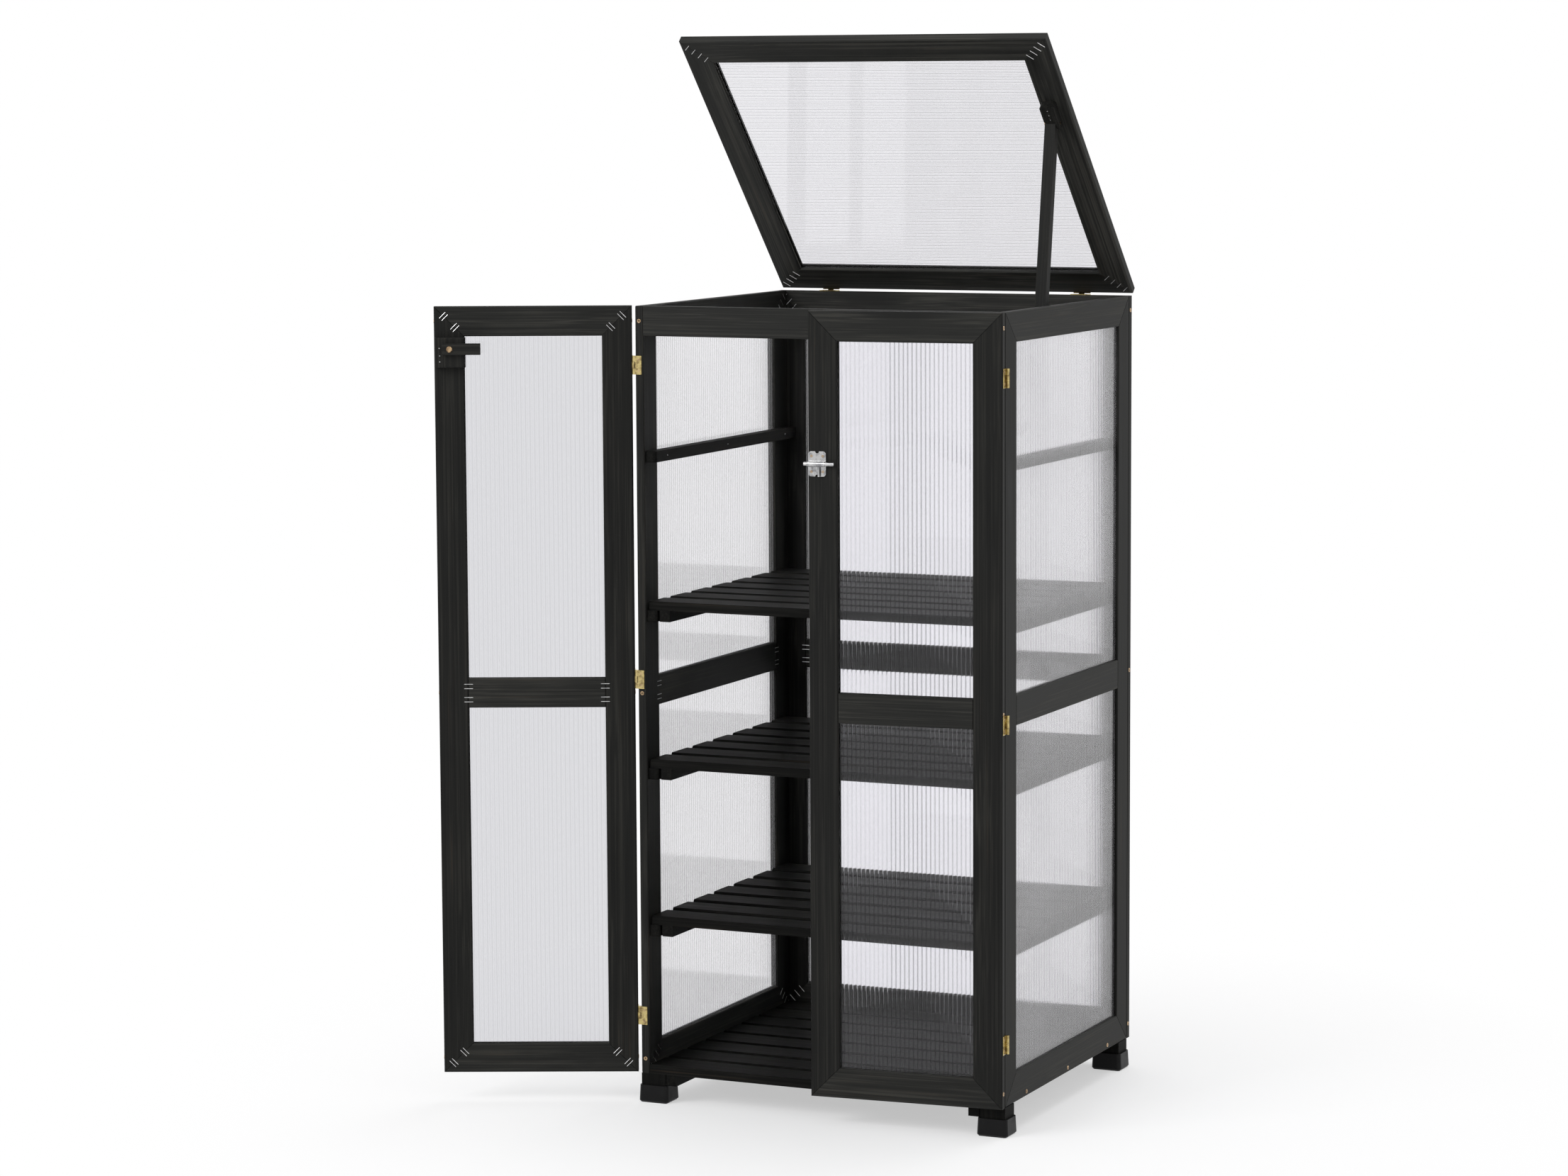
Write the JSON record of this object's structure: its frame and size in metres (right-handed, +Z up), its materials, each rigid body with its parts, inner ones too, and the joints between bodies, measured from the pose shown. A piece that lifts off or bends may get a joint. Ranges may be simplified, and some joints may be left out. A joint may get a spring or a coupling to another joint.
{
  "type": "mini greenhouse",
  "caption": "Cabinet-style mini greenhouse of dark stained mitred boards glazed with twin-wall sheet, with hinged front doors, a propped lid, loose slatted shelves and capped feet.",
  "frame": {"origin": "on the floor at the centre of the carcass (sides and back, doors and lid left out)", "axes": "+Z up, -Y out of the front with the doors, +X to the right seen from the front; at rest the doors and the lid stand as in the picture"},
  "size_m": [0.787, 0.6019, 1.4365],
  "materials": {
    "stained_wood": "black-stained planed softwood, dull satin",
    "twin_wall": "clear fluted twin-wall polycarbonate, pale and translucent",
    "yellow_zinc": "yellow-passivated pressed steel",
    "bright_zinc": "bright zinc plate",
    "screw_brass": "yellow-passivated screw",
    "foot_plastic": "satin black moulded plastic"
  },
  "bodies": {
    "cabinet": {"left_side_front_stile": "stained_wood", "left_side_rear_stile": "stained_wood", "left_side_top_rail": "stained_wood", "left_side_mid_rail": "stained_wood", "left_side_bottom_rail": "stained_wood", "left_side_sheets": "twin_wall", "right_side_front_stile": "stained_wood", "right_side_rear_stile": "stained_wood", "right_side_top_rail": "stained_wood", "right_side_mid_rail": "stained_wood", "right_side_bottom_rail": "stained_wood", "right_side_sheets": "twin_wall", "back_stiles": "stained_wood", "back_top_rail": "stained_wood", "back_mid_rail": "stained_wood", "back_bottom_rail": "stained_wood", "back_sheets": "twin_wall", "front_top_rail": "stained_wood", "shelf_cleats": "stained_wood", "legs": "stained_wood", "floor_slats": "stained_wood", "floor_battens": "stained_wood", "foot_caps": "foot_plastic", "cabinet_hinge_leaves": "yellow_zinc", "hinge_pins": "yellow_zinc"},
    "left_door": {"left_door_hinge_stile": "stained_wood", "left_door_free_stile": "stained_wood", "left_door_top_rail": "stained_wood", "left_door_mid_rail": "stained_wood", "left_door_bottom_rail": "stained_wood", "left_door_sheets": "twin_wall", "left_door_hinge_leaves": "yellow_zinc", "latch_block": "stained_wood", "turn_button_screw": "screw_brass", "bolt_keeper": "bright_zinc"},
    "right_door": {"right_door_hinge_stile": "stained_wood", "right_door_free_stile": "stained_wood", "right_door_top_rail": "stained_wood", "right_door_mid_rail": "stained_wood", "right_door_bottom_rail": "stained_wood", "right_door_sheets": "twin_wall", "right_door_hinge_leaves": "yellow_zinc", "bolt_plate": "bright_zinc"},
    "turn_button": {"turn_button": "stained_wood"},
    "bolt": {"bolt_rod": "bright_zinc"},
    "lid": {"lid_left_rail": "stained_wood", "lid_right_rail": "stained_wood", "lid_front_rail": "stained_wood", "lid_rear_rail": "stained_wood", "prop_block": "stained_wood", "lid_sheet": "twin_wall", "lid_hinge_leaves": "yellow_zinc", "prop_screw": "screw_brass"},
    "lid_prop": {"lid_prop": "stained_wood"},
    "upper_shelf": {"upper_shelf_slats": "stained_wood", "upper_shelf_battens": "stained_wood"},
    "middle_shelf": {"middle_shelf_slats": "stained_wood", "middle_shelf_battens": "stained_wood"},
    "lower_shelf": {"lower_shelf_slats": "stained_wood", "lower_shelf_battens": "stained_wood"}
  },
  "joints": [
    {"name": "left_door_hinge", "type": "hinge", "parent": "cabinet", "child": "left_door", "pos_m": [-0.2677, -0.2345, 0.56], "axis": [0, 0, -1], "range_deg": [-156, 34]},
    {"name": "right_door_hinge", "type": "hinge", "parent": "cabinet", "child": "right_door", "pos_m": [0.2677, -0.2345, 0.56], "axis": [0, 0, 1], "range_deg": [-5, 185]},
    {"name": "lid_hinge", "type": "hinge", "parent": "cabinet", "child": "lid", "pos_m": [0, 0.2387, 1.0785], "axis": [-1, 0, 0], "range_deg": [-46, 0]},
    {"name": "lid_prop_pivot", "type": "hinge", "parent": "lid", "child": "lid_prop", "pos_m": [0.239, 0.00173, 1.3187], "axis": [-1, 0, 0], "range_deg": [-52, 0]},
    {"name": "turn_button_pivot", "type": "hinge", "parent": "left_door", "child": "turn_button", "pos_m": [-0.49234, -0.33156, 1.024], "axis": [0.4067, -0.9135, 0], "range_deg": [0, 90]},
    {"name": "bolt_slide", "type": "slide", "parent": "right_door", "child": "bolt", "axis": [-0.9962, -0.0872, 0], "range_m": [-0.004, 0.012]},
    {"name": "upper_shelf_lift", "type": "slide", "parent": "cabinet", "child": "upper_shelf", "axis": [0, 0, 1], "range_m": [0, 0.03]},
    {"name": "middle_shelf_lift", "type": "slide", "parent": "cabinet", "child": "middle_shelf", "axis": [0, 0, 1], "range_m": [0, 0.03]},
    {"name": "lower_shelf_lift", "type": "slide", "parent": "cabinet", "child": "lower_shelf", "axis": [0, 0, 1], "range_m": [0, 0.03]}
  ],
  "couplings": [
    {"joint": "lid_prop_pivot", "follows": "lid_hinge", "ratio": 1.1304}
  ]
}
